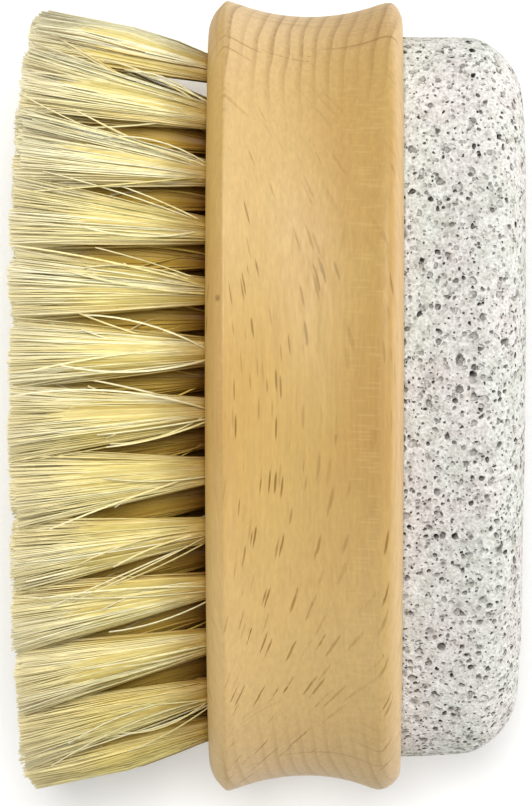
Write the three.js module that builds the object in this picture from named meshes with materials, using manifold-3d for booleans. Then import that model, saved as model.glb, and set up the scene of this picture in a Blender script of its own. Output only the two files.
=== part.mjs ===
// Two-sided body brush: an oval beech block with staple-set bristle tufts on one face and a pumice
// stone glued into the other. Millimetres, +Z up. The brush lies on its side on the block's two rims,
// bristles towards -X, stone towards +X, length along Y, with the origin under the middle of its box.
import * as THREE from 'three';
import { mergeGeometries, mergeVertices } from 'three/addons/utils/BufferGeometryUtils.js';
import Module from 'manifold-3d';

// Wooden block
const blockLength = 100;
const blockWidth = 46;
const blockThickness = 24;
const fingerGrooveDepth = 2.15;
const rimRoundReach = 3.4; // how far the rounded rims reach in from the outline
const bristleRimHeight = 2.2; // height of the rounded rim at the bristle face
const stoneRimHeight = 1.6; // height of the rounded rim at the stone face

// Pumice stone, its recess and its glue
const stoneMargin = 4.8; // from the block's outline to the stone's
const stoneStandout = 15.4; // from the block's face to the stone's outer face
const stoneEdgeReach = 8.5; // how far the rounded outer edge reaches in from the stone's outline
const stoneEdgeHeight = 6; // height of the rounded outer edge
const stoneRecessDepth = 3;
const adhesiveThickness = 0.6;
const adhesiveMargin = 1.2; // from the stone's outline to the edge of the glue

// Tufts
const tuftEdgeMargin = 8; // from the block's outline to the middles of the outer tufts
const tuftHoleDiameter = 3.6;
const tuftHoleDepth = 9;
const outerRingTufts = 26;
const middleRingTufts = 20;
const centreRowTufts = 7;
const centreRowGap = 9.8; // from the last tuft of the centre row to the tip of the middle ring
const backingThickness = 1.6; // slice of the face that carries each group of tufts
const backingBorder = 0.5; // slice left round the tuft holes
const seatWall = 0.6; // wood left between the seats of the middle and centre slices

// Strands
const bristleLength = 24; // from the block's face to the trimmed tips
const strandsRoundTuft = 6; // round the one in the middle
const strandRadius = 0.4; // to the corners of its three sides
const strandSink = 0.8; // how deep a strand starts below the face
const strandGap = 0.6; // least gap between the strands of neighbouring tufts, at the tips
const tuftSplay = 0.1; // outward lean of the tips for each millimetre from the block's middle

// Staple anchors
const anchorLength = 4.6;
const anchorHeight = 2.2;
const anchorThickness = 0.4;
const tuftFoldHeight = 0.9; // thickness of the folded bristle under an anchor

const clearance = 0.3; // gap between pieces that seat in each other
const cutterOverrun = 1; // how far a cutter passes the face that it opens
const ovalSides = 56;
const arcSteps = 3;
const holeSides = 6;
const weldDistance = 1e-4; // points closer than this are one point

// Values that follow from these
const ovalStretch = (blockLength - blockWidth) / 2;
const blockHalfWidth = blockWidth / 2;
const stoneHalfWidth = blockHalfWidth - stoneMargin;
const stoneSeat = stoneRecessDepth - adhesiveThickness - 2 * clearance;
const outerRingHalfWidth = blockHalfWidth - tuftEdgeMargin;
const middleRingHalfWidth = outerRingHalfWidth / 2;
const centreRowHalfLength = ovalStretch + middleRingHalfWidth - centreRowGap;
const backingHalfWidth = tuftHoleDiameter / 2 + backingBorder;
const centreBackingHalfWidth = middleRingHalfWidth - backingHalfWidth - seatWall - 2 * clearance;
const backingFloor = blockThickness - backingThickness;
const holeFloor = blockThickness - tuftHoleDepth;
const plugRadius = tuftHoleDiameter / 2 - clearance;
const plugFloor = holeFloor + clearance;
const anchorMiddle = plugFloor + tuftFoldHeight + clearance + anchorHeight / 2;

const wasm = await Module();
wasm.setup();

function solidOf(geometry) {
  const bare = new THREE.BufferGeometry();
  bare.setAttribute('position', geometry.getAttribute('position'));
  bare.setIndex(geometry.getIndex());
  const merged = mergeVertices(bare, weldDistance);
  const vertProperties = merged.getAttribute('position').array;
  const triVerts = Uint32Array.from(merged.getIndex().array);
  return new wasm.Manifold(new wasm.Mesh({ numProp: 3, vertProperties, triVerts }));
}

function geometryOf(solid) {
  const mesh = solid.getMesh();
  const geometry = new THREE.BufferGeometry();
  geometry.setAttribute('position', new THREE.BufferAttribute(mesh.vertProperties, 3));
  geometry.setIndex(new THREE.BufferAttribute(mesh.triVerts, 1));
  return geometry;
}

function joined(solids) {
  return solids.reduce((whole, solid) => whole.add(solid));
}

// Turns points of half width and height about Y, then stretches the round body along X to the oval.
function ovalBody(points) {
  const geometry = new THREE.LatheGeometry(points, ovalSides);
  const position = geometry.getAttribute('position');
  for (let i = 0; i < position.count; i += 1) {
    const x = position.getX(i);
    const radius = Math.hypot(x, position.getZ(i));
    if (radius > 0) {
      position.setX(i, x + (ovalStretch * x) / radius);
    }
  }
  return geometry;
}

function ovalPlate(halfWidth, low, high) {
  const path = new THREE.Path();
  path.moveTo(0, low);
  path.lineTo(halfWidth, low);
  path.lineTo(halfWidth, high);
  path.lineTo(0, high);
  return ovalBody(path.getPoints());
}

function ovalBand(innerHalfWidth, outerHalfWidth, low, high) {
  const path = new THREE.Path();
  path.moveTo(innerHalfWidth, low);
  path.lineTo(outerHalfWidth, low);
  path.lineTo(outerHalfWidth, high);
  path.lineTo(innerHalfWidth, high);
  path.lineTo(innerHalfWidth, low);
  return ovalBody(path.getPoints());
}

function roundRod(radius, low, high, x, z) {
  const geometry = new THREE.CylinderGeometry(radius, radius, high - low, holeSides);
  return geometry.translate(x, (low + high) / 2, z);
}

// Places of the tufts on the face, as points of length (x) and width (y).
function ringPlaces(halfWidth, count, firstTurn) {
  const ring = new THREE.EllipseCurve(0, 0, ovalStretch + halfWidth, halfWidth);
  return Array.from({ length: count }, (_, i) => ring.getPointAt((firstTurn + i / count) % 1));
}

function rowPlaces(halfLength, count) {
  const step = (2 * halfLength) / (count - 1);
  return Array.from({ length: count }, (_, i) => new THREE.Vector2(i * step - halfLength, 0));
}

const quarterTurn = 0.25; // the first outer tuft is in the middle of a long side
const outerPlaces = ringPlaces(outerRingHalfWidth, outerRingTufts, quarterTurn);
const middlePlaces = ringPlaces(middleRingHalfWidth, middleRingTufts, quarterTurn + 0.5 / middleRingTufts);
const centrePlaces = rowPlaces(centreRowHalfLength, centreRowTufts);
const allPlaces = [...outerPlaces, ...middlePlaces, ...centrePlaces];

function leastPitch(places) {
  const pitches = places.flatMap((place, i) => places.slice(i + 1).map((other) => place.distanceTo(other)));
  return Math.min(...pitches);
}

// From the middle of a tuft to its outer strands, at the tips.
const tuftTipSpread = (leastPitch(allPlaces) * (1 + tuftSplay)) / 2 - strandRadius - strandGap / 2;

// Slices of the face that carry the tufts, or their seats in the block when grown by the clearance.
function backingBand(ringHalfWidth, grow, low, high) {
  const reach = backingHalfWidth + grow;
  return ovalBand(ringHalfWidth - reach, ringHalfWidth + reach, low, high);
}

function centreBackingPlate(grow, low, high) {
  return ovalPlate(centreBackingHalfWidth + grow, low, high);
}

function anchorBox(grow, x, z) {
  const geometry = new THREE.BoxGeometry(
    anchorLength + 2 * grow,
    anchorHeight + 2 * grow,
    anchorThickness + 2 * grow,
  );
  return geometry.translate(x, anchorMiddle, z);
}

function blockGeometry() {
  const rimInside = blockHalfWidth - rimRoundReach;
  const grooveLow = stoneRimHeight;
  const grooveHigh = blockThickness - bristleRimHeight;
  const halfChord = (grooveHigh - grooveLow) / 2;
  const grooveRadius = (halfChord ** 2 + fingerGrooveDepth ** 2) / (2 * fingerGrooveDepth);
  const grooveAxis = blockHalfWidth - fingerGrooveDepth + grooveRadius;
  const grooveAngle = Math.asin(halfChord / grooveRadius);

  const profile = new THREE.Path();
  profile.moveTo(0, 0);
  profile.lineTo(rimInside, 0);
  profile.absellipse(rimInside, grooveLow, rimRoundReach, stoneRimHeight, -Math.PI / 2, 0);
  profile.absarc(
    grooveAxis,
    grooveLow + halfChord,
    grooveRadius,
    Math.PI + grooveAngle,
    Math.PI - grooveAngle,
    true,
  );
  profile.absellipse(rimInside, grooveHigh, rimRoundReach, bristleRimHeight, 0, Math.PI / 2);
  profile.lineTo(0, blockThickness);

  const seatFloor = backingFloor - clearance;
  const seatTop = blockThickness + cutterOverrun;
  const cutters = [
    ovalPlate(stoneHalfWidth + clearance, -cutterOverrun, stoneRecessDepth),
    backingBand(outerRingHalfWidth, clearance, seatFloor, seatTop),
    backingBand(middleRingHalfWidth, clearance, seatFloor, seatTop),
    centreBackingPlate(clearance, seatFloor, seatTop),
  ];
  for (const place of allPlaces) {
    cutters.push(roundRod(tuftHoleDiameter / 2, holeFloor, seatTop, place.x, place.y));
    cutters.push(anchorBox(clearance, place.x, place.y));
  }
  const block = solidOf(ovalBody(profile.getPoints(arcSteps)));
  return geometryOf(block.subtract(joined(cutters.map(solidOf))));
}

function stoneGeometry() {
  const edgeInside = stoneHalfWidth - stoneEdgeReach;
  const edgeHeight = stoneEdgeHeight - stoneStandout;
  const profile = new THREE.Path();
  profile.moveTo(0, -stoneStandout);
  profile.lineTo(edgeInside, -stoneStandout);
  profile.absellipse(edgeInside, edgeHeight, stoneEdgeReach, stoneEdgeHeight, -Math.PI / 2, 0);
  profile.lineTo(stoneHalfWidth, stoneSeat);
  profile.lineTo(0, stoneSeat);
  return ovalBody(profile.getPoints(arcSteps));
}

function adhesiveGeometry() {
  const top = stoneRecessDepth - clearance;
  return ovalPlate(stoneHalfWidth - adhesiveMargin, top - adhesiveThickness, top);
}

const strandOutline = new THREE.Shape([0, 1, 2].map((corner) => {
  const angle = (corner / 3) * 2 * Math.PI;
  return new THREE.Vector2(strandRadius * Math.cos(angle), strandRadius * Math.sin(angle));
}));

// One straight three-sided strand from the face to the trim line.
function strand(rootX, rootZ, tipX, tipZ) {
  const height = bristleLength + strandSink;
  const lean = new THREE.Matrix4().makeShear(0, 0, (tipX - rootX) / height, (tipZ - rootZ) / height, 0, 0);
  const geometry = new THREE.ExtrudeGeometry(strandOutline, { depth: height, bevelEnabled: false });
  geometry.rotateX(-Math.PI / 2);
  geometry.applyMatrix4(lean);
  return geometry.translate(rootX, blockThickness - strandSink, rootZ);
}

function tuftStrands(place) {
  const tip = place.clone().multiplyScalar(1 + tuftSplay);
  const rootSpread = plugRadius - strandRadius;
  const strands = [strand(place.x, place.y, tip.x, tip.y)];
  for (let i = 0; i < strandsRoundTuft; i += 1) {
    const angle = (i / strandsRoundTuft) * 2 * Math.PI;
    const x = Math.cos(angle);
    const z = Math.sin(angle);
    strands.push(strand(
      place.x + rootSpread * x,
      place.y + rootSpread * z,
      tip.x + tuftTipSpread * x,
      tip.y + tuftTipSpread * z,
    ));
  }
  return strands;
}

// The root of a tuft fills its hole and is folded round its anchor.
function tuftRoot(place) {
  const root = solidOf(roundRod(plugRadius, plugFloor, blockThickness, place.x, place.y));
  return root.subtract(solidOf(anchorBox(clearance, place.x, place.y)));
}

function bristleGeometry(backing, places) {
  const strands = solidOf(mergeGeometries(places.flatMap(tuftStrands)));
  return geometryOf(joined([solidOf(backing), ...places.map(tuftRoot)]).add(strands));
}

const beech = { color: 0xd8b376, roughness: 0.55, metalness: 0 };
const pumice = { color: 0xd2cdc4, roughness: 0.95, metalness: 0 };
const bristle = { color: 0xd8c88c, roughness: 0.6, metalness: 0 };
const glue = { color: 0xe8dfc4, roughness: 0.4, metalness: 0 };
const steelWire = { color: 0xa9a7a2, roughness: 0.35, metalness: 1 };

const brush = new THREE.Group();

function addPiece(name, geometry, look) {
  const mesh = new THREE.Mesh(geometry, new THREE.MeshStandardMaterial({ ...look, flatShading: true }));
  mesh.name = name;
  brush.add(mesh);
}

addPiece('handle_block', blockGeometry(), beech);
addPiece('pumice_stone', stoneGeometry(), pumice);
addPiece('adhesive_bed', adhesiveGeometry(), glue);

const outerBacking = backingBand(outerRingHalfWidth, 0, backingFloor, blockThickness);
const middleBacking = backingBand(middleRingHalfWidth, 0, backingFloor, blockThickness);
const centreBacking = centreBackingPlate(0, backingFloor, blockThickness);
addPiece('outer_bristle_ring', bristleGeometry(outerBacking, outerPlaces), bristle);
addPiece('middle_bristle_ring', bristleGeometry(middleBacking, middlePlaces), bristle);
addPiece('centre_bristle_row', bristleGeometry(centreBacking, centrePlaces), bristle);

allPlaces.forEach((place, i) => {
  const number = String(i + 1).padStart(2, '0');
  addPiece(`staple_anchor_${number}`, anchorBox(0, place.x, place.y), steelWire);
});

// Turn the bristles towards -X, stand the lower rim on the ground and centre the length of the stack.
brush.rotation.z = Math.PI / 2;
brush.position.set((blockThickness + bristleLength - stoneStandout) / 2, 0, blockHalfWidth);

export default brush;
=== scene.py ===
import bmesh
import bpy
import math
import random
from functools import partial
from mathutils import Matrix, Vector, noise


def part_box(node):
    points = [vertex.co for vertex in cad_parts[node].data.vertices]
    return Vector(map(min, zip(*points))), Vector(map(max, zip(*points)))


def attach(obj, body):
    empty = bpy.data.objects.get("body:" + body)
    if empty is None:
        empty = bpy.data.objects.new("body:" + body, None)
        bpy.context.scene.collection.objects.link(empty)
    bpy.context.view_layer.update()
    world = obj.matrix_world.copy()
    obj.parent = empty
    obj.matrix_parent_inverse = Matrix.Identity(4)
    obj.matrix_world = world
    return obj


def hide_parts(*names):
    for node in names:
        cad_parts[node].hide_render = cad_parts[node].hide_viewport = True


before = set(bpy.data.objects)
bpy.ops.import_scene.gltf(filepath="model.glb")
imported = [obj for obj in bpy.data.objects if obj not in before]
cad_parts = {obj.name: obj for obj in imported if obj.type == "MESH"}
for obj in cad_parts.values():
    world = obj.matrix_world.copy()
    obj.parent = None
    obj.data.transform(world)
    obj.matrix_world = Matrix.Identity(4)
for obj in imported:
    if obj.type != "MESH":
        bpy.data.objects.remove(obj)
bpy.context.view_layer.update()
print("frame loaded,", len(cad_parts), "nodes")

mm = 0.001
dice = random.Random(21)
noise.seed_set(21)  # for noise_vector, which differs from run to run without it

# places that every piece is worked out from
blockLow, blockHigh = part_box("handle_block")
stoneLow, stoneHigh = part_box("pumice_stone")
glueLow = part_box("adhesive_bed")[0]
bristleFace = blockLow.x  # the bristles leave the block here, towards -X
stoneFace = blockHigh.x  # the stone stands on this face, towards +X
halfWidth = (blockHigh.z - blockLow.z) / 2
halfLength = (blockHigh.y - blockLow.y) / 2
ovalStretch = halfLength - halfWidth
axisHeight = blockLow.z + halfWidth


# a hex colour as linear light, with alpha
def linear(code):
    channels = [int(code[i:i + 2], 16) / 255 for i in (0, 2, 4)]
    return [c / 12.92 if c <= 0.04045 else ((c + 0.055) / 1.055) ** 2.4 for c in channels] + [1.0]


# inputs go by name, or by number where a node has several of one name: a MapRange maps 1 to 2 onto 3 to 4
def addNode(tree, kind, inputs=None, stops=None, **settings):
    node = tree.nodes.new("ShaderNode" + kind)
    for name, value in settings.items():
        setattr(node, name, value)
    for socket, value in (inputs or {}).items():
        if isinstance(value, bpy.types.NodeSocket):
            tree.links.new(value, node.inputs[socket])
        else:
            node.inputs[socket].default_value = value
    for i, (position, colour) in enumerate(stops or []):
        ramp = node.color_ramp.elements
        stop = ramp[i] if i < 2 else ramp.new(position)
        stop.position = position
        stop.color = linear(colour)
    return node


def newMaterial(name):
    material = bpy.data.materials.new(name)
    material.use_nodes = True
    material.node_tree.nodes.clear()
    return material, partial(addNode, material.node_tree)


# Beech, turned, sanded and oiled. The eye sees a pale honey ground with a soft sheen, short brown
# ray flecks where the surface lies across the rays, and growth rings on the end grain.
beech = {
    "radial": Vector((0.83, 0, 0.56)),  # direction out from the pith of the tree
    "ringTilt": 0.24,  # the rings stand steeper than the rays lie
    "endRayTilt": 0.08,
    "ringSpacing": 1.75 * mm,
    "ringShift": 0.8 * mm,
    "ringCurve": 35 * mm,
    "ringWander": 4.5,  # how far the rings wander, in rings
    # broad rays: size of a cell along the radius, along the grain and across, thinnest and thickest in cells
    "flecks": (Vector((60, 6.5, 0.46)) * mm, 0.11, 0.37),
    "endRays": (Vector((40, 8, 0.45)) * mm, 0.2, 0.42),
    "rayRough": 0.35,  # how far the fibres push a ray about, in cells
    "knot": (Vector((-6.2, 14.3, 44.6)) * mm, 0.55 * mm),  # place and radius of a pin knot
    "fineRayCell": Vector((8, 0.42, 1.5)) * mm,  # drawn coarser than real, to show
    "fibre": Vector((0.5, 16, 0.5)) * mm,
    "patch": Vector((8, 30, 8)) * mm,
    "speck": Vector((0.3, 1.4, 0.3)) * mm,
    "endShade": (-36 * mm, -48 * mm),  # along Y, where the painted shade at the -Y end starts and where it is darkest
    "paleLow": (-3 * mm, -28 * mm),  # along Y, where each half turns paler with painted light
    "paleHigh": (6 * mm, 24 * mm),
    "paleSide": (9 * mm, 1 * mm),  # along X, for the +Y half only
    "ground": ["BB9853", "B8934E", "B68F4C"],
    # the colour of the painted light
    "pale": "C3A368",
    # the colour of the wear, which faces towards +X also take as painted light
    "worn": "D2B48A",
    "ray": "78540A",
    "fineRay": "D2B272",
    "ring": "8A622A",
}


def beechWood():
    material, add = newMaterial("beech_oiled")
    place = add("TexCoord").outputs["Object"]
    normal = add("NewGeometry").outputs["Normal"]
    tilt = (0, -math.atan2(beech["radial"].z, beech["radial"].x), 0)
    across = add("VectorMath", {0: normal, 1: beech["radial"]}, operation="DOT_PRODUCT")
    acrossSize = add("Math", {0: across.outputs["Value"]}, operation="ABSOLUTE")
    facing = add("SeparateXYZ", {0: normal})
    endGrain = add("Math", {0: facing.outputs["Y"]}, operation="ABSOLUTE")
    level = add("Math", {0: facing.outputs["Z"]}, operation="ABSOLUTE")

    # ground colour, drifting slowly over the block, with fine fibre streaks along the grain
    patchPlace = add("Mapping", {"Vector": place, "Rotation": tilt, "Scale": beech["patch"]},
                     vector_type="TEXTURE")
    patch = add("TexNoise", {"Vector": patchPlace.outputs[0], "Scale": 1.0, "Detail": 2.0})
    stops = list(zip((0.35, 0.5, 0.65), beech["ground"]))
    ground = add("ValToRGB", {0: patch.outputs["Fac"]}, stops)
    fibrePlace = add("Mapping", {"Vector": place, "Rotation": tilt, "Scale": beech["fibre"]},
                     vector_type="TEXTURE")
    fibre = add("TexNoise", {"Vector": fibrePlace.outputs[0], "Scale": 1.0, "Detail": 4.0})
    grain = add("MapRange", {0: fibre.outputs["Fac"], 1: 0.3, 2: 0.7, 3: 0.94, 4: 1.06})
    speckPlace = add("Mapping", {"Vector": place, "Scale": beech["speck"]}, vector_type="TEXTURE")
    speck = add("TexNoise", {"Vector": speckPlace.outputs[0], "Scale": 1.0, "Detail": 1.0})
    specks = add("MapRange", {0: speck.outputs["Fac"], 1: 0.3, 2: 0.7, 3: 0.96, 4: 1.04})
    tone = add("Math", {0: grain.outputs[0], 1: specks.outputs[0]}, operation="MULTIPLY")
    # painted shade, a little darker towards the stone and at the very end of -Y, and painted light, paler in
    # the -Y half and on the bristle side of the +Y half, except where the surface faces towards -X
    placeSplit = add("SeparateXYZ", {0: place})
    placeX = placeSplit.outputs["X"]
    placeY = placeSplit.outputs["Y"]
    stonewardShade = add("MapRange", {0: placeX, 1: 0.0, 2: stoneTip, 3: 1.0, 4: 0.93})
    endward = add("MapRange", {0: placeY, 1: beech["endShade"][0], 2: beech["endShade"][1], 3: 1.0,
                              4: 0.92})
    paintedShade = add("Math", {0: stonewardShade.outputs[0], 1: endward.outputs[0]}, operation="MULTIPLY")
    shaded = add("Math", {0: tone.outputs[0], 1: paintedShade.outputs[0]}, operation="MULTIPLY")
    lowPale = add("MapRange", {0: placeY, 1: beech["paleLow"][0], 2: beech["paleLow"][1], 3: 0.0, 4: 1.0})
    highPale = add("MapRange", {0: placeY, 1: beech["paleHigh"][0], 2: beech["paleHigh"][1], 3: 0.0,
                               4: 1.0})
    sidePale = add("MapRange", {0: placeX, 1: beech["paleSide"][0], 2: beech["paleSide"][1], 3: 0.0,
                               4: 1.0})
    rimPale = add("MapRange", {0: facing.outputs["X"], 1: -0.5, 2: -0.15, 3: 0.0, 4: 1.0})
    grooved = add("Math", {0: sidePale.outputs[0], 1: rimPale.outputs[0]}, operation="MULTIPLY")
    paintedLightMask = add("Math", {0: highPale.outputs[0], 1: grooved.outputs[0],
                            2: lowPale.outputs[0]}, operation="MULTIPLY_ADD")
    paintedLightGround = add("Mix", {0: paintedLightMask.outputs[0], 6: ground.outputs[0],
                          7: linear(beech["pale"])}, data_type="RGBA")
    # paler where hands and sanding wear the rims and ends, and as painted light and shade, much paler on
    # faces towards +X and hardly at all on faces towards -X
    worn = add("MapRange", {0: level.outputs[0], 1: 0.95, 2: 0.6, 3: 0.0, 4: 0.4})
    litSide = add("MapRange", {0: facing.outputs["X"], 1: -0.6, 2: 0.4, 3: 0.1, 4: 1.5})
    wearAndLightMask = add("Math", {0: worn.outputs[0], 1: litSide.outputs[0]}, operation="MULTIPLY")
    paler = add("Mix", {0: wearAndLightMask.outputs[0], 6: paintedLightGround.outputs[2],
                        7: linear(beech["worn"])}, data_type="RGBA")
    streaked = add("VectorMath", {0: paler.outputs[2], 1: shaded.outputs[0]}, operation="MULTIPLY")

    # growth rings, clear only on the end grain
    ringTurn = (0, -beech["ringTilt"], 0)
    ringShift = (beech["ringShift"], 0, 0)
    ringPlace = add("Mapping", {"Vector": place, "Location": ringShift, "Rotation": ringTurn,
                                "Scale": [beech["ringSpacing"]] * 3}, vector_type="TEXTURE")
    ringSplit = add("SeparateXYZ", {0: ringPlace.outputs[0]})
    ringWander = add("TexNoise", {"Vector": place, "Scale": 1 / beech["ringCurve"], "Detail": 3.0})
    ringSum = add("Math", {0: ringWander.outputs["Fac"], 1: beech["ringWander"],
                           2: ringSplit.outputs["X"]}, operation="MULTIPLY_ADD")
    ringShare = add("Math", {0: ringSum.outputs[0]}, operation="FRACT")
    ringCount = add("Math", {0: ringSum.outputs[0]}, operation="FLOOR")
    ringChance = add("TexWhiteNoise", {"W": ringCount.outputs[0]}, noise_dimensions="1D")
    ringYear = add("MapRange", {0: ringChance.outputs["Value"], 1: 0.0, 2: 1.0, 3: 0.35, 4: 1.0})
    ringLine = add("ValToRGB", {0: ringShare.outputs[0]},
                   [(0.5, "000000"), (0.86, "FFFFFF"), (0.94, "FFFFFF"), (1.0, "000000")])
    # the -Y end is sanded smoother, so that its grain shows less
    sanded = add("MapRange", {0: facing.outputs["Y"], 1: -0.5, 2: 0.5, 3: 0.5, 4: 1.0})
    ringStrength = add("MapRange", {0: endGrain.outputs[0], 1: 0.42, 2: 0.7, 3: 0.06, 4: 0.78})
    ringBreak = add("MapRange", {0: fibre.outputs["Fac"], 1: 0.35, 2: 0.6, 3: 0.45, 4: 1.0})
    ringMask = ringLine.outputs[0]
    for part in (ringStrength, ringBreak, ringYear, sanded):
        product = add("Math", {0: ringMask, 1: part.outputs[0]}, operation="MULTIPLY")
        ringMask = product.outputs[0]
    ringed = add("Mix", {0: ringMask, 6: streaked.outputs[0], 7: linear(beech["ring"])}, data_type="RGBA")

    # fine rays show as pale lines where the surface runs along them
    finePlace = add("Mapping", {"Vector": place, "Rotation": tilt,
                                "Scale": beech["fineRayCell"]}, vector_type="TEXTURE")
    fine = add("TexVoronoi", {"Vector": finePlace.outputs[0], "Scale": 1.0})
    fineLine = add("MapRange", {0: fine.outputs["Distance"], 1: 0.42, 2: 0.25, 3: 0.0, 4: 1.0})
    fineStrength = add("MapRange", {0: acrossSize.outputs[0], 1: 0.45, 2: 0.28, 3: 0.0, 4: 0.2})
    fineFace = add("MapRange", {0: level.outputs[0], 1: 0.75, 2: 0.9, 3: 0.1, 4: 1.0})
    fineSeen = add("Math", {0: fineStrength.outputs[0], 1: fineFace.outputs[0]}, operation="MULTIPLY")
    fineMask = add("Math", {0: fineLine.outputs[0], 1: fineSeen.outputs[0]}, operation="MULTIPLY")
    colour = add("Mix", {0: fineMask.outputs[0], 6: ringed.outputs[2],
                         7: linear(beech["fineRay"])}, data_type="RGBA").outputs[2]

    # broad rays: ribbons that run out from the pith, seen end on as short dark flecks, and as long thin
    # lines on the end grain
    fleckFace = add("MapRange", {0: acrossSize.outputs[0], 1: 0.22, 2: 0.6, 3: 0.1, 4: 0.84})
    fleckRim = add("MapRange", {0: facing.outputs["X"], 1: 0.4, 2: 0.65, 3: 1.0, 4: 0.2})
    fleckEnd = add("MapRange", {0: facing.outputs["Y"], 1: 0.15, 2: 0.4, 3: 1.0, 4: 0.3})
    fleckSeen = add("Math", {0: fleckFace.outputs[0], 1: fleckRim.outputs[0]}, operation="MULTIPLY")
    fleckStrength = add("Math", {0: fleckSeen.outputs[0], 1: fleckEnd.outputs[0]}, operation="MULTIPLY")
    endFace = add("MapRange", {0: endGrain.outputs[0], 1: 0.35, 2: 0.55, 3: 0.0, 4: 0.55})
    endStrength = add("Math", {0: endFace.outputs[0], 1: sanded.outputs[0]}, operation="MULTIPLY")
    relief = fibre.outputs["Fac"]
    endTurn = (0, -beech["endRayTilt"], 0)
    for layer, turn, strength in (("flecks", tilt, fleckStrength), ("endRays", endTurn, endStrength)):
        cell, thinnest, thickest = beech[layer]
        rayPlace = add("Mapping", {"Vector": place, "Rotation": turn, "Scale": cell}, vector_type="TEXTURE")
        rayRough = add("VectorMath", {0: fibre.outputs["Color"], 1: [beech["rayRough"]] * 3,
                                      2: rayPlace.outputs[0]}, operation="MULTIPLY_ADD")
        ray = add("TexVoronoi", {"Vector": rayRough.outputs[0], "Scale": 1.0})
        chance = add("SeparateColor", {0: ray.outputs["Color"]})
        size = add("MapRange", {0: chance.outputs["Red"], 1: 0.0, 2: 1.0, 3: thinnest, 4: thickest})
        share = add("Math", {0: ray.outputs["Distance"], 1: size.outputs[0]}, operation="DIVIDE")
        line = add("MapRange", {0: share.outputs[0], 1: 1.0, 2: 0.6, 3: 0.0, 4: 1.0},
                   interpolation_type="SMOOTHSTEP")
        dark = add("MapRange", {0: chance.outputs["Green"], 1: 0.0, 2: 1.0, 3: 0.25, 4: 1.0})
        seen = add("Math", {0: dark.outputs[0], 1: strength.outputs[0]}, operation="MULTIPLY")
        mask = add("Math", {0: line.outputs[0], 1: seen.outputs[0]}, operation="MULTIPLY")
        colour = add("Mix", {0: mask.outputs[0], 6: colour, 7: linear(beech["ray"])},
                     data_type="RGBA").outputs[2]
        relief = add("Math", {0: relief, 1: mask.outputs[0]}, operation="SUBTRACT").outputs[0]

    knotPlace, knotSize = beech["knot"]
    knotGap = add("VectorMath", {0: place, 1: knotPlace}, operation="DISTANCE")
    knotMask = add("MapRange", {0: knotGap.outputs["Value"], 1: knotSize, 2: knotSize * 0.4,
                                3: 0.0, 4: 0.7})
    colour = add("Mix", {0: knotMask.outputs[0], 6: colour, 7: linear(beech["ray"])},
                 data_type="RGBA").outputs[2]

    bump = add("Bump", {"Height": relief, "Strength": 0.2, "Distance": 0.05 * mm})
    rough = add("MapRange", {0: fibre.outputs["Fac"], 1: 0.3, 2: 0.7, 3: 0.55, 4: 0.44})
    shader = add("BsdfPrincipled", {"Base Color": colour, "Roughness": rough.outputs[0],
                                    "Normal": bump.outputs[0], "IOR": 1.48})
    add("OutputMaterial", {"Surface": shader.outputs[0]})
    return material


# Natural pumice, sawn and tumbled. The eye sees a chalky grey-white glass foam, matt all over, with
# round pits of every size, painted with grey shade where they are shallow and nearly black shade where they
# are deep.
pumice = {
    "gap": 0.1 * mm,  # to the wall of the recess
    "edge": Vector((6, 8.5)) * mm,  # rounded outer edge, along X and in from the outline
    "taper": 0.4 * mm,  # the outer face is lower at the -Y end by this
    "endRub": 1.0 * mm,  # and that end is rubbed back by this
    "cornerRub": 1.5 * mm,  # the rounded edge is flatter at both ends
    "steps": 120,  # round the outline, before the voxels
    "edgeSteps": 10,
    "voxel": 0.27 * mm,
    "wear": 0.15 * mm,  # slow waviness of the sawn faces
    "wearWave": 9 * mm,
    # shares of the height over the block: where the stone is still smooth, where the wear is full, where the
    # end's rubbing starts and is full, and the middle and reach of the flatter edge
    "smooth": -0.02,
    "wearFull": 0.2,
    "endRubFrom": 0.2,
    "endRubFull": 0.7,
    "rubMiddle": 0.86,
    "rubReach": 0.34,
    "endPower": 6,  # how suddenly both kinds of rubbing set in towards the ends
    "raggedSize": 1.6 * mm,  # the rims of the pits are uneven by this size
    "raggedReach": 0.25 * mm,
    "pores": [
        # pits in the mesh: cell, smallest and largest radius, share of cells with one, depth for each radius
        (2.4 * mm, 0.35 * mm, 0.75 * mm, 0.7, 0.7),
        (1.4 * mm, 0.28 * mm, 0.45 * mm, 0.7, 0.8),
    ],
    "finePores": [
        # pits in the material, as bumps and painted shade: cell, smallest and largest radius, darkest shade
        (1.8 * mm, 0.2 * mm, 0.6 * mm, 0.7),
        (1.05 * mm, 0.15 * mm, 0.44 * mm, 1.0),
        (0.6 * mm, 0.08 * mm, 0.25 * mm, 1.0),
    ],
    "lean": Vector((-0.55, 0.65, 0.5)),  # the bubbles slope, so that one side of a pit hangs over and gets painted shade
    "wobble": 0.8 * mm,
    "bowl": 0.9,  # depth of the pits in the material for each radius
    "pitShade": 0.6,  # how dark the painted shade in the pits in the mesh is
    "pitSteep": 1.8,  # how soon they are dark, in from the rim
    "pitLeast": 0.4,  # the palest of them, as a share of the darkest
    "crumb": 0.36 * mm,
    "crumbHeight": 0.12,
    "patch": 1.6 * mm,
    "tintPatch": 7 * mm,
    "tintShare": 0.4,
    "ground": ["BCB7AF", "D0CDC7", "D8D6D1"],
    "tints": ["CEC6C2", "C5CBC0"],
    # painted shade in the pits, shallow and deep
    "shallow": "7C7770",
    "deep": "1E1B19",
}


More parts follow.
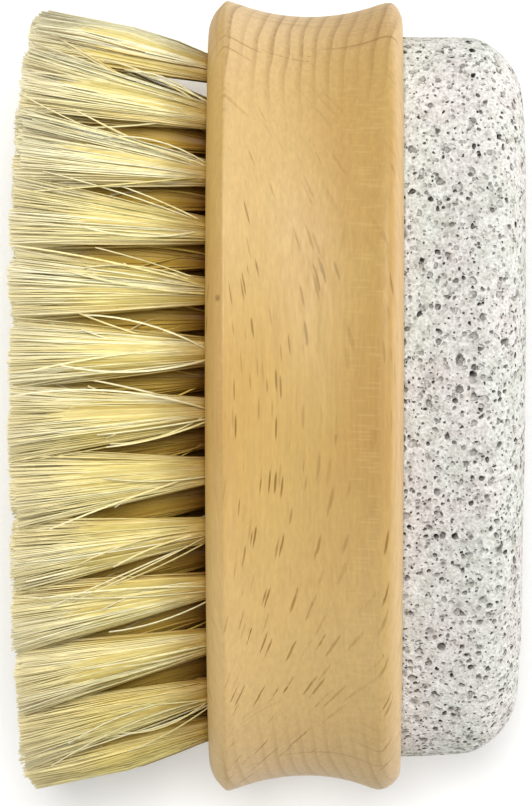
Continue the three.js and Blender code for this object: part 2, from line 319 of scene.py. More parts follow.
def pumiceStone():
    material, add = newMaterial("pumice_sawn")
    place = add("TexCoord").outputs["Object"]
    pit = add("Attribute", attribute_name="pit").outputs["Fac"]

    patch = add("TexNoise", {"Vector": place, "Scale": 1 / pumice["patch"], "Detail": 3.0})
    stops = list(zip((0.35, 0.5, 0.62), pumice["ground"]))
    ground = add("ValToRGB", {0: patch.outputs["Fac"]}, stops)
    tintNoise = add("TexNoise", {"Vector": place, "Scale": 1 / pumice["tintPatch"], "Detail": 0.0})
    tint = add("ValToRGB", {0: tintNoise.outputs["Fac"]}, list(zip((0.35, 0.65), pumice["tints"])))
    tinted = add("Mix", {0: pumice["tintShare"], 6: ground.outputs[0], 7: tint.outputs[0]},
                 data_type="RGBA")
    crumb = add("TexNoise", {"Vector": place, "Scale": 1 / pumice["crumb"], "Detail": 2.0})
    crumbTone = add("MapRange", {0: crumb.outputs["Fac"], 1: 0.33, 2: 0.67, 3: 0.76, 4: 1.14})
    # painted light: paler towards both ends
    placeSplit = add("SeparateXYZ", {0: place})
    endward = add("Math", {0: placeSplit.outputs["Y"]}, operation="ABSOLUTE")
    paintedEndLight = add("MapRange", {0: endward.outputs[0], 1: halfLength * 0.5, 2: halfLength * 0.9,
                              3: 1.0, 4: 1.12})
    groundTone = add("Math", {0: crumbTone.outputs[0], 1: paintedEndLight.outputs[0]}, operation="MULTIPLY")
    crumbled = add("VectorMath", {0: tinted.outputs[2], 1: groundTone.outputs[0]}, operation="MULTIPLY")

    # pores of three sizes, pushed out of round, as bumps and as painted shade that is darker on the side that
    # hangs over
    wobble = add("TexNoise", {"Vector": place, "Scale": 1 / pumice["wobble"], "Detail": 1.0})
    warped = add("VectorMath", {0: wobble.outputs["Color"], 1: [pumice["wobble"] * 0.8] * 3,
                                2: place}, operation="MULTIPLY_ADD")
    # painted shade in the pits of the mesh
    pitFloor = add("Math", {0: pit, 1: pumice["pitShade"]}, operation="MULTIPLY")
    paintedPitShade = pitFloor.outputs[0]
    crumbRelief = add("Math", {0: crumb.outputs["Fac"], 1: -pumice["crumbHeight"]}, operation="MULTIPLY")
    relief = crumbRelief.outputs[0]
    for cell, smallest, largest, darkest in pumice["finePores"]:
        pore = add("TexVoronoi", {"Vector": warped.outputs[0], "Scale": 1 / cell})
        chance = add("SeparateColor", {0: pore.outputs["Color"]})
        size = add("MapRange", {0: chance.outputs["Red"], 1: 0.0, 2: 1.0, 3: smallest / cell,
                                4: largest / cell})
        share = add("Math", {0: pore.outputs["Distance"], 1: size.outputs[0]}, operation="DIVIDE")
        inside = add("MapRange", {0: share.outputs[0], 1: 1.0, 2: 0.7, 3: 0.0, 4: 1.0},
                     interpolation_type="SMOOTHSTEP")
        offset = add("VectorMath", {0: warped.outputs[0], 1: pore.outputs["Position"]},
                     operation="SUBTRACT")
        sideways = add("VectorMath", {0: offset.outputs[0], 1: pumice["lean"] / cell},
                       operation="DOT_PRODUCT")
        slope = add("Math", {0: sideways.outputs["Value"], 1: size.outputs[0]}, operation="DIVIDE")
        overhangShade = add("MapRange", {0: slope.outputs[0], 1: -0.7, 2: 0.4, 3: 0.4, 4: 1.0})
        rarely = add("Math", {0: chance.outputs["Green"], 1: 1.2}, operation="POWER")
        dark = add("MapRange", {0: rarely.outputs[0], 1: 0.0, 2: 1.0, 3: 0.08, 4: darkest})
        floor = add("Math", {0: inside.outputs[0], 1: dark.outputs[0]}, operation="MULTIPLY")
        depth = add("Math", {0: floor.outputs[0], 1: overhangShade.outputs[0]}, operation="MULTIPLY")
        paintedPitShade = add("Math", {0: paintedPitShade, 1: depth.outputs[0]}, operation="MAXIMUM").outputs[0]
        curve = add("Math", {0: share.outputs[0], 1: 2.0}, operation="POWER")
        bowl = add("Math", {0: 1.0, 1: curve.outputs[0]}, operation="SUBTRACT", use_clamp=True)
        bowlDepth = add("Math", {0: bowl.outputs[0], 1: size.outputs[0]}, operation="MULTIPLY")
        relief = add("Math", {0: bowlDepth.outputs[0], 1: pumice["bowl"] * cell / mm, 2: relief},
                     operation="MULTIPLY_ADD").outputs[0]

    # painted shade: grey in shallow pits, nearly black in deep ones
    shallowMask = add("MapRange", {0: paintedPitShade, 1: 0.03, 2: 0.5, 3: 0.0, 4: 0.85})
    shallow = add("Mix", {0: shallowMask.outputs[0], 6: crumbled.outputs[0],
                          7: linear(pumice["shallow"])}, data_type="RGBA")
    deepMask = add("MapRange", {0: paintedPitShade, 1: 0.4, 2: 0.9, 3: 0.0, 4: 1.0})
    colour = add("Mix", {0: deepMask.outputs[0], 6: shallow.outputs[2],
                         7: linear(pumice["deep"])}, data_type="RGBA")

    bump = add("Bump", {"Height": relief, "Strength": 1.0, "Distance": 1 * mm}, invert=True)
    shader = add("BsdfPrincipled", {"Base Color": colour.outputs[2], "Roughness": 0.95,
                                    "Normal": bump.outputs[0], "IOR": 1.45,
                                    "Specular IOR Level": 0.2})
    add("OutputMaterial", {"Surface": shader.outputs[0]})
    return material


# Washed plant-fibre and boar bristle mix. The eye sees fine cream and straw strands with a waxy sheen,
# each of its own tone, bleached at the cut tips, and browner at the root where they crowd together, which is
# painted shade.
bristle = {
    "tones": ["9A7A32", "DBCB7E", "F3E49B", "FFFAD2"],  # the darker ones are for the packed strands, as painted shade
    # painted shade at the roots of crowded strands: golden, and dark brown at the deepest
    "root": "E6C35A",
    "deep": "7A4810",
    "tip": "FAECC6",
    "shade": "BA9D68",  # the light that is left at the root has come through other strands
    "mottle": Vector((8, 0.3, 0.3)) * mm,
    "softness": 0.9,
}


def bristleFibre():
    material, add = newMaterial("bristle_natural")
    place = add("TexCoord").outputs["Object"]
    tone = add("Attribute", attribute_name="strandTone").outputs["Fac"]
    along = add("Attribute", attribute_name="along").outputs["Fac"]
    crowdShade = add("Attribute", attribute_name="crowdShade").outputs["Fac"]
    stops = list(zip((0.0, 0.35, 0.6, 1.0), bristle["tones"]))
    strand = add("ValToRGB", {0: tone}, stops)
    mottlePlace = add("Mapping", {"Vector": place, "Scale": bristle["mottle"]}, vector_type="TEXTURE")
    mottle = add("TexNoise", {"Vector": mottlePlace.outputs[0], "Scale": 1.0, "Detail": 2.0})
    mottleTone = add("MapRange", {0: mottle.outputs["Fac"], 1: 0.35, 2: 0.65, 3: 0.86, 4: 1.08})
    mottled = add("VectorMath", {0: strand.outputs[0], 1: mottleTone.outputs[0]}, operation="MULTIPLY")
    # painted shade: golden towards the roots of crowded strands, dark brown nearest the block
    rootShare = add("MapRange", {0: along, 1: 0.92, 2: 0.55, 3: 0.0, 4: 1.0})
    rootMask = add("Math", {0: rootShare.outputs[0], 1: crowdShade}, operation="MULTIPLY")
    rooted = add("Mix", {0: rootMask.outputs[0], 6: mottled.outputs[0],
                         7: linear(bristle["root"])}, data_type="RGBA")
    deepShare = add("MapRange", {0: along, 1: 0.26, 2: 0.05, 3: 0.0, 4: 0.85})
    deepMask = add("Math", {0: deepShare.outputs[0], 1: crowdShade}, operation="MULTIPLY")
    deepened = add("Mix", {0: deepMask.outputs[0], 6: rooted.outputs[2],
                           7: linear(bristle["deep"])}, data_type="RGBA")
    shade = add("ValToRGB", {0: along}, [(0.04, bristle["shade"]), (0.32, "FFFFFF")])
    shaded = add("VectorMath", {0: deepened.outputs[2], 1: shade.outputs[0]}, operation="MULTIPLY")
    tipMask = add("MapRange", {0: along, 1: 0.6, 2: 1.0, 3: 0.0, 4: 0.5})
    colour = add("Mix", {0: tipMask.outputs[0], 6: shaded.outputs[0],
                         7: linear(bristle["tip"])}, data_type="RGBA")
    # light passes from strand to strand, so a tuft shades more like one soft body than like its strands
    normal = add("NewGeometry").outputs["Normal"]
    outward = add("Attribute", attribute_name="outward").outputs["Vector"]
    leaning = add("VectorMath", {0: outward, 1: [bristle["softness"]] * 3, 2: normal},
                  operation="MULTIPLY_ADD")
    soft = add("VectorMath", {0: leaning.outputs[0]}, operation="NORMALIZE")
    shader = add("BsdfPrincipled", {"Base Color": colour.outputs[2], "Roughness": 0.45,
                                    "Normal": soft.outputs[0], "IOR": 1.5,
                                    "Specular IOR Level": 0.25})
    add("OutputMaterial", {"Surface": shader.outputs[0]})
    return material


# Cured wood glue. The eye sees a cream film with a dull shine and slow ripples.
glue = {"ripple": 4 * mm, "colours": ["DCCFA8", "EDE3C6"]}


def curedGlue():
    material, add = newMaterial("glue_cured")
    place = add("TexCoord").outputs["Object"]
    ripple = add("TexNoise", {"Vector": place, "Scale": 1 / glue["ripple"], "Detail": 3.0})
    colour = add("ValToRGB", {0: ripple.outputs["Fac"]}, list(zip((0.3, 0.7), glue["colours"])))
    bump = add("Bump", {"Height": ripple.outputs["Fac"], "Strength": 0.4, "Distance": 0.2 * mm})
    shader = add("BsdfPrincipled", {"Base Color": colour.outputs[0], "Roughness": 0.4,
                                    "Normal": bump.outputs[0], "IOR": 1.47})
    add("OutputMaterial", {"Surface": shader.outputs[0]})
    return material


# Flat steel wire, drawn and cropped. The eye sees a grey metal with fine lines along its length.
wire = {"line": Vector((0.12, 3, 0.12)) * mm, "colours": ["8D8B86", "B4B2AD"]}


def drawnSteel():
    material, add = newMaterial("steel_wire_drawn")
    place = add("TexCoord").outputs["Object"]
    linePlace = add("Mapping", {"Vector": place, "Scale": wire["line"]}, vector_type="TEXTURE")
    line = add("TexNoise", {"Vector": linePlace.outputs[0], "Scale": 1.0, "Detail": 2.0})
    colour = add("ValToRGB", {0: line.outputs["Fac"]}, list(zip((0.3, 0.7), wire["colours"])))
    rough = add("MapRange", {0: line.outputs["Fac"], 1: 0.3, 2: 0.7, 3: 0.42, 4: 0.3})
    shader = add("BsdfPrincipled", {"Base Color": colour.outputs[0], "Metallic": 1.0,
                                    "Roughness": rough.outputs[0]})
    add("OutputMaterial", {"Surface": shader.outputs[0]})
    return material


def newObject(name, bm, material):
    mesh = bpy.data.meshes.new(name)
    bm.to_mesh(mesh)
    bm.free()
    mesh.materials.append(material)
    piece = bpy.data.objects.new(name, mesh)
    bpy.context.scene.collection.objects.link(piece)
    return piece


def applyModifiers(piece):
    bpy.context.view_layer.update()
    shaped = piece.evaluated_get(bpy.context.evaluated_depsgraph_get())
    mesh = bpy.data.meshes.new_from_object(shaped)
    piece.modifiers.clear()
    piece.data = mesh


def standFor(piece, slot, *nodes):
    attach(piece, "root")
    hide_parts(*nodes)


# points of an elliptical arc in the half outline, as (x, reach), angles from the outward direction
def arc(centre, size, start, end, steps):
    angles = [start + (end - start) * i / steps for i in range(steps + 1)]
    return [(centre[0] + size[0] * math.sin(a), centre[1] + size[1] * math.cos(a)) for a in angles]


# turns a half outline about the X axis, closes its two flat ends and stretches it along Y to the oval
def turnOval(outline, steps):
    bm = bmesh.new()
    verts = [bm.verts.new((x, 0, reach)) for x, reach in outline]
    edges = [bm.edges.new(pair) for pair in zip(verts, verts[1:])]
    bmesh.ops.spin(bm, geom=verts + edges, cent=(0, 0, 0), axis=(1, 0, 0), angle=2 * math.pi, steps=steps,
                   use_merge=True)
    bmesh.ops.remove_doubles(bm, verts=bm.verts, dist=0.001 * mm)
    bmesh.ops.holes_fill(bm, edges=bm.edges, sides=0)
    for v in bm.verts:
        reach = math.hypot(v.co.y, v.co.z)
        v.co.y += ovalStretch * v.co.y / reach
    bmesh.ops.translate(bm, verts=bm.verts, vec=(0, 0, axisHeight))
    bmesh.ops.recalc_face_normals(bm, faces=bm.faces)
    return bm


# wooden block
block = {
    "rimReach": 3.4 * mm,
    "bristleRim": 2.2 * mm,
    "stoneRim": 1.3 * mm,
    "groove": 2.15 * mm,
    "bristleSwing": 40,  # degrees that the outline turns through over each rim
    "stoneSwing": 55,
    "rimSteps": 6,
    "grooveSteps": 26,
    "crestRound": 0.3 * mm,
    "softening": 6,  # passes that wear the stone rim and the ends of the bristle rim round
    "stoneSoft": 1.2 * mm,  # how far from the crest they reach
    "bristleSoft": 1 * mm,
    "bristleEnds": 0.85,  # as a share of the half length
    "crestLean": 1.0 * mm,  # the crest of the stone rim wanders in by this at the -Y end
    "recessGap": 0.3 * mm,
    "recessEdge": 0.15 * mm,  # its broken edge
    "hole": 1.8 * mm,
    "holeDepth": 9 * mm,
    "holeSides": 20,
    "overrun": 1 * mm,  # how far outside the face the drill starts
    "slotGap": 0.3 * mm,
    "steps": 176,
    "sharpAngle": 32,
}


def tuftPlaces(first, last):
    boxes = [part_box(f"staple_anchor_{number:02d}") for number in range(first, last + 1)]
    return [(low + high) / 2 for low, high in boxes]


tuftGroups = {
    "outer_bristle_ring": tuftPlaces(1, 26),
    "middle_bristle_ring": tuftPlaces(27, 46),
    "centre_bristle_row": tuftPlaces(47, 53),
}


stoneTip = stoneFace - block["stoneRim"]
bristleTip = bristleFace + block["bristleRim"]


# points of a circular arc between two points of the half outline, hollow for a negative swing
def bulge(start, end, swing, steps):
    start, end = Vector(start), Vector(end)
    along = (end - start).normalized()
    out = Vector((along.y, -along.x))
    radius = (end - start).length / (2 * math.sin(swing / 2))
    angles = [swing * (i / steps - 0.5) for i in range(steps + 1)]
    rise = [radius * (math.cos(a) - math.cos(swing / 2)) for a in angles]
    return [(start + end) / 2 + along * radius * math.sin(a) + out * r for a, r in zip(angles, rise)]


def blockOutline():
    rimInside = halfWidth - block["rimReach"]
    recessReach = (stoneHigh.z - stoneLow.z) / 2 + block["recessGap"]
    recessFloor = glueLow.x - block["recessGap"]
    grooveSwing = -4 * math.atan(2 * block["groove"] / (stoneTip - bristleTip))
    stoneSwing = math.radians(block["stoneSwing"])
    bristleSwing = math.radians(block["bristleSwing"])
    outline = [(recessFloor, recessReach), (stoneFace - block["recessEdge"], recessReach),
               (stoneFace, recessReach + block["recessEdge"])]
    outline += bulge((stoneFace, rimInside), (stoneTip, halfWidth), stoneSwing, block["rimSteps"])
    outline += bulge((stoneTip, halfWidth), (bristleTip, halfWidth), grooveSwing, block["grooveSteps"])[1:]
    outline += bulge((bristleTip, halfWidth), (bristleFace, rimInside), bristleSwing, block["rimSteps"])[1:]
    return outline


def blockCutter(name, shapes):
    bm = bmesh.new()
    for place in [p for group in tuftGroups.values() for p in group]:
        shapes(bm, place)
    cutter = newObject(name, bm, None)
    cutter.hide_render = True
    return cutter


def drillHole(bm, place):
    deep = block["holeDepth"] + block["overrun"]
    spot = Matrix.Translation((bristleFace - block["overrun"] + deep / 2, place.y, place.z))
    bmesh.ops.create_cone(bm, cap_ends=True, segments=block["holeSides"], radius1=block["hole"],
                          radius2=block["hole"], depth=deep,
                          matrix=spot @ Matrix.Rotation(math.pi / 2, 4, "Y"))


def pressSlot(bm, place):
    low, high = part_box("staple_anchor_01")
    size = high - low + Vector([2 * block["slotGap"]] * 3)
    bmesh.ops.create_cube(bm, size=1, matrix=Matrix.Translation(place) @ Matrix.Diagonal(size).to_4x4())


def makeBlock(material):
    bm = turnOval(blockOutline(), block["steps"])
    edges = [e for e in bm.edges if all(abs(v.co.x - bristleTip) < 0.01 * mm for v in e.verts)]
    bmesh.ops.bevel(bm, geom=edges, offset=block["crestRound"], segments=3, profile=0.5, affect="EDGES",
                    material=-1)
    stoneCrest = [v for v in bm.verts if abs(v.co.x - stoneTip) < block["stoneSoft"]]
    bristleCrest = [v for v in bm.verts if abs(v.co.x - bristleTip) < block["bristleSoft"]
                    and abs(v.co.y) > block["bristleEnds"] * halfLength]
    for crest in (stoneCrest, bristleCrest):
        for i in range(block["softening"]):
            bmesh.ops.smooth_vert(bm, verts=crest, factor=0.5, use_axis_x=True, use_axis_y=True,
                                  use_axis_z=True)
    middle = (stoneTip + bristleTip) / 2
    for v in bm.verts:
        near = min((v.co.x - middle) / (stoneTip - middle), (stoneFace - v.co.x) / block["stoneRim"])
        v.co.x -= block["crestLean"] * max(0, near) * (0.5 - v.co.y / (2 * halfLength))
    piece = newObject("beech_block", bm, material)
    for name, shape in (("hole", drillHole), ("slot", pressSlot)):
        cutter = blockCutter(name + "_cutter", shape)
        cut = piece.modifiers.new(name, "BOOLEAN")
        cut.operation = "DIFFERENCE"
        cut.solver = "EXACT"
        cut.object = cutter
        applyModifiers(piece)
        bpy.data.objects.remove(cutter)
    piece.data.shade_smooth()
    piece.data.set_sharp_from_angle(angle=math.radians(block["sharpAngle"]))
    standFor(piece, "beech", "handle_block")
    print("block made,", len(piece.data.polygons), "faces")


# how much painted shade one spot of the stone gets from a pore of one size, from 0 to 1, and how far the pore
# moves it
def poreAt(spot, cell, smallest, largest, share, depth):
    distances, centres = noise.voronoi(spot / cell)
    pit = 0.0
    sink = 0.0
    for distance, centre in zip(distances, centres):
        chance = 0.5 + 0.5 * noise.cell(centre * 7.31)  # odd factors, so that each draw is its own
        if chance > share:
            continue
        radius = smallest + (largest - smallest) * (chance / share) ** 2
        inside = 1 - distance * cell / radius
        if inside <= 0:
            continue
        dark = pumice["pitLeast"] + (1 - pumice["pitLeast"]) * noise.cell(centre * 3.17) ** 2
        paintedPitShade = min(1, inside * pumice["pitSteep"]) * dark
        if paintedPitShade > pit:
            pit = paintedPitShade
            sink = radius * depth * math.sqrt(inside)
    return pit, sink


def makeStone(material):
    reach = (stoneHigh.z - stoneLow.z) / 2 + block["recessGap"] - pumice["gap"]
    edgeCentre = (stoneHigh.x - pumice["edge"].x, reach - pumice["edge"].y)
    outline = [(stoneLow.x, reach)]
    outline += arc(edgeCentre, pumice["edge"], 0, math.pi / 2, pumice["edgeSteps"])
    bm = turnOval(outline, pumice["steps"])
    piece = newObject("pumice_stone_sawn", bm, material)
    remesh = piece.modifiers.new("grit", "REMESH")
    remesh.mode = "VOXEL"
    remesh.voxel_size = pumice["voxel"]
    applyModifiers(piece)

    bm = bmesh.new()
    bm.from_mesh(piece.data)
    pitLayer = bm.verts.layers.float.new("pit")
    standout = stoneHigh.x - stoneFace
    moves = []
    for v in bm.verts:
        out = (v.co.x - stoneFace) / standout
        if out < pumice["smooth"]:
            continue
        spot = v.co + noise.noise_vector(v.co / pumice["raggedSize"]) * pumice["raggedReach"]
        found = [poreAt(spot, *size) for size in pumice["pores"]]
        # painted shade in the pits, for the material
        v[pitLayer] = max(pit for pit, sink in found)
        worn = pumice["wear"] * (0.5 + 0.5 * noise.noise(v.co / pumice["wearWave"]))
        worn *= min(1, max(0, out) / pumice["wearFull"])
        sunk = v.co - v.normal * (max(sink for pit, sink in found) + worn)
        sunk.x -= pumice["taper"] * max(0, out) * (0.5 - v.co.y / (2 * halfLength))
        lowEnd = max(0, -v.co.y / halfLength) ** pumice["endPower"]
        upward = (out - pumice["endRubFrom"]) / (pumice["endRubFull"] - pumice["endRubFrom"])
        sunk.y += pumice["endRub"] * min(1, max(0, upward)) * lowEnd
        eitherEnd = abs(v.co.y / halfLength) ** pumice["endPower"]
        rub = max(0, 1 - ((out - pumice["rubMiddle"]) / pumice["rubReach"]) ** 2) ** 2 * eitherEnd
        sunk -= v.normal * pumice["cornerRub"] * rub
        moves.append((v, sunk))
    for v, sunk in moves:
        v.co = sunk
    under = [f for f in bm.faces if f.calc_center_median().x < stoneLow.x + 0.1 * mm]
    bmesh.ops.dissolve_faces(bm, faces=under, use_verts=True)
    bm.to_mesh(piece.data)
    bm.free()
    piece.data.shade_smooth()
    standFor(piece, "pumice", "pumice_stone")
    print("stone made,", len(piece.data.polygons), "faces")


# tufts of strands
tuft = {
    # loose strands in each tuft, reach of their tips, levels in each strand, packed strands round the core
    "outer": (740, 4.5 * mm, 4, 40),
    "inner": (400, 5.3 * mm, 3, 30),
    "pieces": 4,  # the outer ring has the most strands, so it is made as this many pieces
    "clumps": 20,
    "clumpTurn": 2.4,  # radians from clump to clump: the golden angle spreads them evenly
    "clumpPower": 0.45,
    "clumpRoot": (0.75, 0.25),  # shares of the radius at the root: reach of the clumps, and reach in a clump
    "clumpTip": (0.8, 0.16, 0.3),  # at the tip: reach and scatter of the clumps, and reach in a clump
    "clumpTone": (0.5, 0.85),
    "toneSpread": 0.1,  # among the strands of a clump
    "rootRadius": 1.65 * mm,
    "sink": 1.5 * mm,
    "sideGap": 0.3 * mm,  # the strands stay this far inside the block's width
    "strandRadius": 0.105 * mm,
    "tipThickness": 0.85,
    "toneThickness": (0.8, 0.4),  # a dark strand is thinner: least, and gain up to the palest
    "outShare": 0.5,  # how much a strand shades by its place in the brush, against that in its tuft
    "strays": 10,
    "strayLevels": 9,
    "strayLimit": 38 * mm,  # no strays past this
    "strayRoot": 0.5,  # shares of the root's and of the tips' reach
    "strayOut": 0.4,
    "strayReach": 1.9,
    "strayBow": 1.7 * mm,
    "strayTone": (0.6, 0.95),
    "strayThickness": (1.5, 1.1),  # at the root and the end
    "strayLength": (0.45, 1),
    "dark": 0.01,  # share of dark hairs
    "trim": 0.4 * mm,  # how ragged the cut is, for each strand and for each clump
    "clumpTrim": 1.1 * mm,
    "bow": 0.4 * mm,
    "endLight": (0.45, 0.27),  # painted light and shade: how much paler the strands are at the +Y end, and darker at the -Y end
    "core": (1.3 * mm, 3.75 * mm),  # close-packed strands inside the tuft, radius at the root and the end
    "coreShare": 0.9,
    "coreLevels": 9,
    "coreSink": 5,  # how late the core sinks in among the loose tips
    "coreBleach": 0.85,  # only the loose tips are bleached
    "coreSoftness": 0.3,
    "coreTone": (0.4, 0.28, 0.3, 0.17),  # first ridge, least, share of the ridge before, spread
    "ridge": 0.1,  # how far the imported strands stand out, as a share of the radius
    "crease": (0.6, 0.3, 0.5),  # between them, as painted shade: share of the tone, least gold, depth as a share of the ridge
    "drop": (2.4 * mm, 0.9 * mm),  # the trim falls back towards the +Y and the -Y end
    "dropPower": 4,
    "endLimit": 46 * mm,  # past this the strands of the end tufts crowd together
    "endCrowding": 0.5,
    "corner": 1.2 * mm,  # and are cut shorter, by this for each cornerReach
    "cornerReach": 3 * mm,
    "crowdLimit": 1.06,  # roots get painted golden shade from here inwards, in shares of the outer ring's reach
    "crowdFade": 0.12,
    "leanStart": -3.5,  # degrees at the middle of the brush
    "leanUp": 0.42,  # degrees for each millimetre from there, towards +Y
    "leanDown": 0.3,
    "leanWidth": 0.3,  # degrees for each millimetre across the brush
}


def tuftLean(place):
    y = place.y / mm
    angleY = tuft["leanStart"] + (tuft["leanUp"] if y > 0 else tuft["leanDown"]) * y
    angleZ = tuft["leanWidth"] * (place.z - axisHeight) / mm
    return Vector((0, math.tan(math.radians(angleY)), math.tan(math.radians(angleZ))))


def inDisc(radius):
    angle = dice.uniform(0, 2 * math.pi)
    reach = radius * math.sqrt(dice.random())
    return Vector((0, reach * math.cos(angle), reach * math.sin(angle)))


def crowdedY(y):
    over = max(0, abs(y) - tuft["endLimit"])
    return y - math.copysign(over * tuft["endCrowding"], y)


# reach of the outer ring of tufts along and across the brush
ringLong = max(p.y for p in tuftGroups["outer_bristle_ring"])
ringWide = max(p.z for p in tuftGroups["outer_bristle_ring"]) - axisHeight
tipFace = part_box("outer_bristle_ring")[0].x


# how deep a root stands among the others, which sets its painted shade
def crowdedAt(spot):
    ringShare = math.hypot(spot.y / ringLong, (spot.z - axisHeight) / ringWide)
    return min(1, max(0, (tuft["crowdLimit"] - ringShare) / tuft["crowdFade"]))


# one strand from its root to where it is cut, with tone, painted shade from crowding and height for each
# corner of its section
def newStrand(begin, end, bow, tone, thick, outward):
    far = abs(crowdedY(end.y))
    drop = tuft["drop"][0 if end.y > 0 else 1] * (far / halfLength) ** tuft["dropPower"]
    drop += tuft["corner"] * (max(0, far - tuft["endLimit"]) / tuft["cornerReach"]) ** 2
    end.x = tipFace + drop + dice.uniform(0, tuft["trim"])
    end.z = max(blockLow.z + tuft["sideGap"], min(blockHigh.z - tuft["sideGap"], end.z))
    begin.x = bristleFace + tuft["sink"]
    rim = [(min(1, max(0, tone)), crowdedAt(begin), 1)] * 3
    return {"begin": begin, "end": end, "bow": bow, "thick": thick, "turn": dice.random(), "rim": rim,
            "outward": outward}


# a tuft's core, as packed strands that fan out side by side, with darker tones and painted golden shade in
# the creases between them
def newCore(root, lean, out, endLight, ridges):
    tone, least, carried, spread = tuft["coreTone"]
    creaseTone, creaseGold, creaseDepth = tuft["crease"]
    straight = Vector((0, 0, 0))
    core = newStrand(root.copy(), root + lean, straight, tone, tuft["core"], out * tuft["coreSoftness"])
    core["end"] = core["begin"].lerp(core["end"], tuft["coreShare"])
    core["rim"] = []
    for i in range(ridges):
        angle = 2 * math.pi * (i / ridges + core["turn"])
        crowdShade = crowdedAt(root + Vector((0, math.cos(angle), math.sin(angle))) * tuft["rootRadius"])
        tone = least + carried * tone + dice.gauss(0, spread)
        paler = min(1, max(0, tone + endLight))
        core["rim"].append((paler, crowdShade, 1 + dice.uniform(0, tuft["ridge"])))
        core["rim"].append((paler * creaseTone, max(crowdShade, creaseGold), 1 - tuft["ridge"] * creaseDepth))
    return core


def makeStrands(places, count, tipRadius, ridges):
    length = bristleFace - tipFace
    rootReach, rootScatter = tuft["clumpRoot"]
    tipReach, clumpScatter, tipScatter = tuft["clumpTip"]
    leastThick, moreThick = tuft["toneThickness"]
    strands, strays, cores = [], [], []
    for place in places:
        root = Vector((bristleFace, place.y, place.z))
        lean = tuftLean(place) * length
        out = Vector((0, place.y / ringLong, (place.z - axisHeight) / ringWide))
        turn = dice.uniform(0, 2 * math.pi)
        # painted light at the +Y end, painted shade at the -Y end
        paleness = tuft["endLight"][0 if place.y > 0 else 1]
        endLight = paleness * place.y * abs(place.y) / halfLength ** 2
        clumps = []
        for i in range(tuft["clumps"]):
            angle = turn + i * tuft["clumpTurn"]
            reach = ((i + 0.5) / tuft["clumps"]) ** tuft["clumpPower"]
            spot = Vector((0, math.cos(angle), math.sin(angle))) * reach
            spread = spot * tipReach + inDisc(clumpScatter)
            tone = dice.uniform(*tuft["clumpTone"]) + endLight
            clumps.append((spot, spread, tone, dice.uniform(0, 1) ** 2 * tuft["clumpTrim"]))
        for i in range(count):
            start, spread, tone, cut = clumps[i % len(clumps)]
            begin = root + start * tuft["rootRadius"] * rootReach + inDisc(tuft["rootRadius"] * rootScatter)
            end = root + lean + spread * tipRadius + inDisc(tipRadius * tipScatter)
            tone = 0 if dice.random() < tuft["dark"] else tone + dice.gauss(0, tuft["toneSpread"])
            thick = (tuft["strandRadius"] * (leastThick + moreThick * tone),
                     tuft["strandRadius"] * tuft["tipThickness"])
            outward = spread + out * tuft["outShare"]
            strand = newStrand(begin, end, inDisc(tuft["bow"]), tone, thick, outward)
            strand["end"].x += cut
            strands.append(strand)
        thick = [tuft["strandRadius"] * share for share in tuft["strayThickness"]]
        strayRoot = tuft["rootRadius"] * tuft["strayRoot"]
        for i in range(tuft["strays"] if abs(place.y) < tuft["strayLimit"] else 0):
            begin = root + out * strayRoot + inDisc(strayRoot)
            end = root + lean + out * tipRadius * tuft["strayOut"] + inDisc(tipRadius * tuft["strayReach"])
            bow = inDisc(tuft["strayBow"])
            stray = newStrand(begin, end, bow, dice.uniform(*tuft["strayTone"]), thick, out)
            stray["end"] = stray["begin"].lerp(stray["end"], dice.uniform(*tuft["strayLength"]))
            strays.append(stray)
        cores.append(newCore(root, lean, out, endLight, ridges))
    return strands, strays, cores


def growStrands(bm, strands, levels):
    layers = bm.verts.layers.float
    sides = len(strands[0]["rim"])
    outLayer = bm.verts.layers.float_vector["outward"]
    idLayer = bm.faces.layers.int["strand"]
    ends = []
    for i, strand in enumerate(strands):
        face = bm.faces.new([bm.verts.new((0, 0, 0)) for corner in range(sides)])
        face[idLayer] = i
        ends.append(face)
    for level in range(levels + 1):
        if level > 0:
            ends = bmesh.ops.extrude_discrete_faces(bm, faces=ends)["faces"]
        share = level / levels
        for face in ends:
            strand = strands[face[idLayer]]
            middle = strand["begin"].lerp(strand["end"], share) + strand["bow"] * 4 * share * (1 - share)
            radius = strand["thick"][0] * (1 - share) + strand["thick"][1] * share
            if sides > 3:  # a core, which ends nearly in a point
                radius *= math.sqrt(1.001 - share ** tuft["coreSink"])
            for corner, v in enumerate(face.verts):
                tone, crowdShade, lift = strand["rim"][corner]
                turn = 2 * math.pi * (corner / sides + strand["turn"])
                v.co = middle + Vector((0, math.cos(turn), math.sin(turn))) * radius * lift
                v.co.y = crowdedY(v.co.y)
                v[layers["strandTone"]] = tone
                v[layers["along"]] = share if sides == 3 else share * tuft["coreBleach"]
                v[layers["crowdShade"]] = crowdShade
                v[outLayer] = strand["outward"]
    bmesh.ops.holes_fill(bm, edges=bm.edges, sides=sides)


def makeBristles(name, node, places, kind, material):
    count, tipRadius, levels, ridges = tuft[kind]
    strands, strays, cores = makeStrands(places, count, tipRadius, ridges)
    bm = bmesh.new()
    bm.faces.layers.int.new("strand")
    for layer in ("strandTone", "along", "crowdShade"):
        bm.verts.layers.float.new(layer)
    bm.verts.layers.float_vector.new("outward")
    growStrands(bm, strands, levels)
    growStrands(bm, strays, tuft["strayLevels"])
    growStrands(bm, cores, tuft["coreLevels"])
    bmesh.ops.recalc_face_normals(bm, faces=bm.faces)
    bm.faces.layers.int.remove(bm.faces.layers.int["strand"])
    piece = newObject(name, bm, material)
    piece.data.shade_smooth()
    standFor(piece, "bristle", node)
    triangles = sum(len(f.vertices) - 2 for f in piece.data.polygons)
    print(name, "made,", len(strands) + len(strays), "strands,", triangles, "triangles")


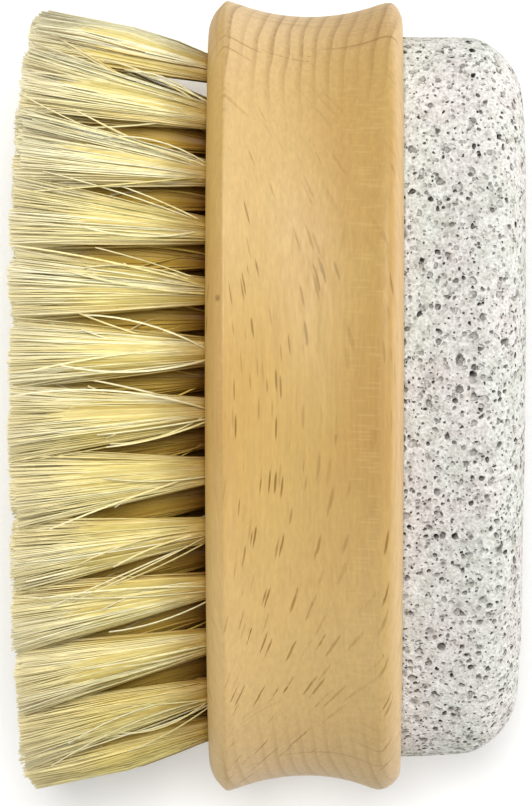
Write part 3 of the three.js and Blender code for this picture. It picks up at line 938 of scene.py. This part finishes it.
makeBlock(beechWood())
makeStone(pumiceStone())
fibre = bristleFibre()
ring = tuftGroups["outer_bristle_ring"]
pieceTufts = math.ceil(len(ring) / tuft["pieces"])
for number in range(tuft["pieces"]):
    places = ring[number * pieceTufts:(number + 1) * pieceTufts]
    makeBristles(f"outer_strands_{number + 1}", "outer_bristle_ring", places, "outer", fibre)
makeBristles("middle_strands", "middle_bristle_ring", tuftGroups["middle_bristle_ring"], "inner", fibre)
makeBristles("centre_strands", "centre_bristle_row", tuftGroups["centre_bristle_row"], "inner", fibre)

# the glue bed and the staple anchors keep their own shapes
steel = drawnSteel()
for nodeName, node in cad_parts.items():
    if nodeName.startswith("staple_anchor"):
        node.material_slots[0].material = steel
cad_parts["adhesive_bed"].material_slots[0].material = curedGlue()
print("hidden pieces finished")


# white studio table
studio = {
    "floorSize": 3,
    "floor": "F2F2F1",
    "floorGlow": 0.07,
    "sky": 0.44,
    # name, direction from the object, distance, size, watts at one metre
    "lights": [
        ("overhead", Vector((-0.02, 0.29, 0.95)), 1.0, 0.4, 6.8),
        ("side", Vector((0.92, 0.1, 0.38)), 1.0, 0.7, 6.2),
        ("fill", Vector((-0.96, -0.1, 0.2)), 1.2, 0.9, 2.9),
    ],
}


def makeStudio():
    bm = bmesh.new()
    bmesh.ops.create_grid(bm, x_segments=1, y_segments=1, size=studio["floorSize"] / 2)
    material, add = newMaterial("table_white")
    shader = add("BsdfPrincipled", {"Base Color": linear(studio["floor"]), "Roughness": 0.8,
                                    "Specular IOR Level": 0.1,
                                    "Emission Color": (1, 1, 1, 1),
                                    "Emission Strength": studio["floorGlow"]})
    add("OutputMaterial", {"Surface": shader.outputs[0]})
    newObject("floor", bm, material)

    world = bpy.data.worlds.new("studio")
    world.use_nodes = True
    sky = world.node_tree.nodes["Background"]
    sky.inputs["Color"].default_value = (1, 1, 1, 1)
    sky.inputs["Strength"].default_value = studio["sky"]
    bpy.context.scene.world = world

    aim = Vector((0, 0, axisHeight))
    for name, direction, distance, size, watts in studio["lights"]:
        lamp = bpy.data.lights.new(name, "AREA")
        lamp.shape = "DISK"
        lamp.size = size
        lamp.energy = watts * distance ** 2
        holder = bpy.data.objects.new(name, lamp)
        holder.location = aim + direction.normalized() * distance
        holder.rotation_euler = (-direction).to_track_quat("-Z", "Y").to_euler()
        bpy.context.scene.collection.objects.link(holder)


# camera over the side of the brush, a little towards its +Y end
shot = {
    "place": Vector((8.2, 48.5, 518.2)) * mm,
    "aim": Vector((-0.66, -0.5, 23)) * mm,
    "lens": 176.7,
}


def makeCamera():
    lens = bpy.data.cameras.new("camera")
    lens.lens = shot["lens"]
    lens.clip_start = 0.01
    camera = bpy.data.objects.new("camera", lens)
    forward = (shot["aim"] - shot["place"]).normalized()
    right = forward.cross(Vector((0, 1, 0))).normalized()
    up = right.cross(forward)
    turn = Matrix((right, up, -forward)).transposed().to_4x4()
    camera.matrix_world = Matrix.Translation(shot["place"]) @ turn
    bpy.context.scene.collection.objects.link(camera)
    bpy.context.scene.camera = camera


makeStudio()
makeCamera()
bpy.context.scene.view_settings.view_transform = "Standard"
print("studio and camera set")
